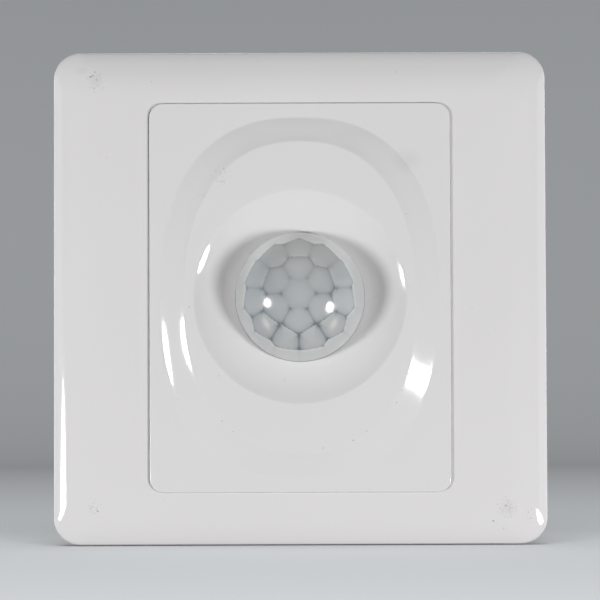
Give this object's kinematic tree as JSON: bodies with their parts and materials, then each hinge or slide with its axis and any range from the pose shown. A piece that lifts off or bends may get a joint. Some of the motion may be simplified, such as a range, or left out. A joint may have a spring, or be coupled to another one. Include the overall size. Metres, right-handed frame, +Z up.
{
  "type": "motion sensor light switch",
  "caption": "Square white wall plate with a raised oval panel, a faceted motion sensor dome in a round dish, and a rear housing with relay and wire terminals.",
  "frame": {"origin": "middle of the plate, in the plane of the wall", "axes": "+Z up the wall, the face looks along -Y, the housing reaches into the wall along +Y"},
  "size_m": [0.086, 0.048, 0.086],
  "materials": {
    "frame_plastic": "glossy moulded",
    "panel_plastic": "glossy moulded",
    "lens_plastic": "milky translucent, moulded lenslets",
    "inner_plastic": "plain moulded",
    "housing_plastic": "fine spark texture",
    "screw_steel": "zinc plated",
    "board_laminate": "solder mask",
    "can_steel": "nickel plated",
    "filter_window": "polished infrared filter",
    "black_plastic": "moulded",
    "tinned_leads": "tinned copper",
    "gold_pins": "gold flash",
    "sensor_ceramic": "resin coated ceramic",
    "chip_parts": "sintered ceramic",
    "film_case": "epoxy filled case",
    "capacitor_sleeve": "shrink sleeve",
    "varistor_coat": "dipped epoxy",
    "fuse_ceramic": "ceramic tube",
    "resistor_coat": "lacquer",
    "relay_plastic": "moulded",
    "bobbin_plastic": "moulded",
    "copper_wire": "enamelled copper",
    "relay_iron": "plated iron",
    "contact_brass": "brass with silver tips",
    "terminal_plastic": "moulded",
    "trimmer_plastic": "moulded",
    "rotor_plastic": "moulded"
  },
  "bodies": {
    "switch_body": {"sensor_panel": "panel_plastic", "fresnel_lens": "lens_plastic", "lens_retainer": "inner_plastic", "retainer_screws": "screw_steel", "mounting_plate": "inner_plastic", "rear_housing": "housing_plastic", "assembly_screws": "screw_steel", "sensor_board": "board_laminate", "board_screws": "screw_steel", "pir_can": "can_steel", "pir_window": "filter_window", "pir_base": "can_steel", "pir_spacer": "black_plastic", "pir_leads": "gold_pins", "light_sensor": "sensor_ceramic", "light_sensor_leads": "tinned_leads", "control_chip": "black_plastic", "control_chip_legs": "tinned_leads", "surface_parts": "chip_parts", "board_link_body": "black_plastic", "board_link_pins": "gold_pins", "power_board": "board_laminate", "component_leads": "tinned_leads", "film_capacitor": "film_case", "main_capacitor": "capacitor_sleeve", "small_capacitor": "capacitor_sleeve", "varistor": "varistor_coat", "fuse": "fuse_ceramic", "diodes": "black_plastic", "resistors": "resistor_coat", "transistor": "black_plastic", "relay_base": "relay_plastic", "relay_cover": "relay_plastic", "relay_bobbin": "bobbin_plastic", "relay_winding": "copper_wire", "relay_yoke": "relay_iron", "relay_contacts": "contact_brass", "relay_pins": "tinned_leads", "terminal_block": "terminal_plastic", "terminal_bars": "contact_brass", "time_trimmer_body": "trimmer_plastic", "light_trimmer_body": "trimmer_plastic"},
    "frame": {"face_frame": "frame_plastic"},
    "time_rotor": {"time_trimmer_rotor": "rotor_plastic"},
    "light_rotor": {"light_trimmer_rotor": "rotor_plastic"},
    "armature": {"relay_armature": "relay_iron"},
    "screw_1": {"terminal_screw_1": "screw_steel"},
    "clamp_1": {"terminal_clamp_1": "contact_brass"},
    "screw_2": {"terminal_screw_2": "screw_steel"},
    "clamp_2": {"terminal_clamp_2": "contact_brass"},
    "screw_3": {"terminal_screw_3": "screw_steel"},
    "clamp_3": {"terminal_clamp_3": "contact_brass"}
  },
  "joints": [
    {"name": "frame_release", "type": "slide", "parent": "switch_body", "child": "frame", "axis": [0, -1, 0], "range_m": [0, 0.022]},
    {"name": "time_trim", "type": "hinge", "parent": "switch_body", "child": "time_rotor", "pos_m": [-0.011, 0.0311, 0.017], "axis": [0, 1, 0], "range_deg": [-135, 135]},
    {"name": "light_trim", "type": "hinge", "parent": "switch_body", "child": "light_rotor", "pos_m": [0.011, 0.0311, 0.017], "axis": [0, 1, 0], "range_deg": [-135, 135]},
    {"name": "relay_pull_in", "type": "hinge", "parent": "switch_body", "child": "armature", "pos_m": [-0.0154, 0.00745, 0.00487], "axis": [0, 0, 1], "range_deg": [0, 5], "stiffness_Nm_per_rad": 0.004, "springref_deg": -5.73},
    {"name": "terminal_turn_1", "type": "hinge", "parent": "switch_body", "child": "screw_1", "pos_m": [-0.008, 0.0311, -0.0225], "axis": [0, -1, 0], "range_deg": [0, 1440]},
    {"name": "terminal_lift_1", "type": "slide", "parent": "switch_body", "child": "clamp_1", "axis": [0, 1, 0], "range_m": [0, 0.002]},
    {"name": "terminal_turn_2", "type": "hinge", "parent": "switch_body", "child": "screw_2", "pos_m": [0, 0.0311, -0.0225], "axis": [0, -1, 0], "range_deg": [0, 1440]},
    {"name": "terminal_lift_2", "type": "slide", "parent": "switch_body", "child": "clamp_2", "axis": [0, 1, 0], "range_m": [0, 0.002]},
    {"name": "terminal_turn_3", "type": "hinge", "parent": "switch_body", "child": "screw_3", "pos_m": [0.008, 0.0311, -0.0225], "axis": [0, -1, 0], "range_deg": [0, 1440]},
    {"name": "terminal_lift_3", "type": "slide", "parent": "switch_body", "child": "clamp_3", "axis": [0, 1, 0], "range_m": [0, 0.002]}
  ],
  "couplings": [
    {"joint": "terminal_turn_1", "follows": "terminal_lift_1", "rad_per_m": 12566},
    {"joint": "terminal_turn_2", "follows": "terminal_lift_2", "rad_per_m": 12566},
    {"joint": "terminal_turn_3", "follows": "terminal_lift_3", "rad_per_m": 12566}
  ]
}
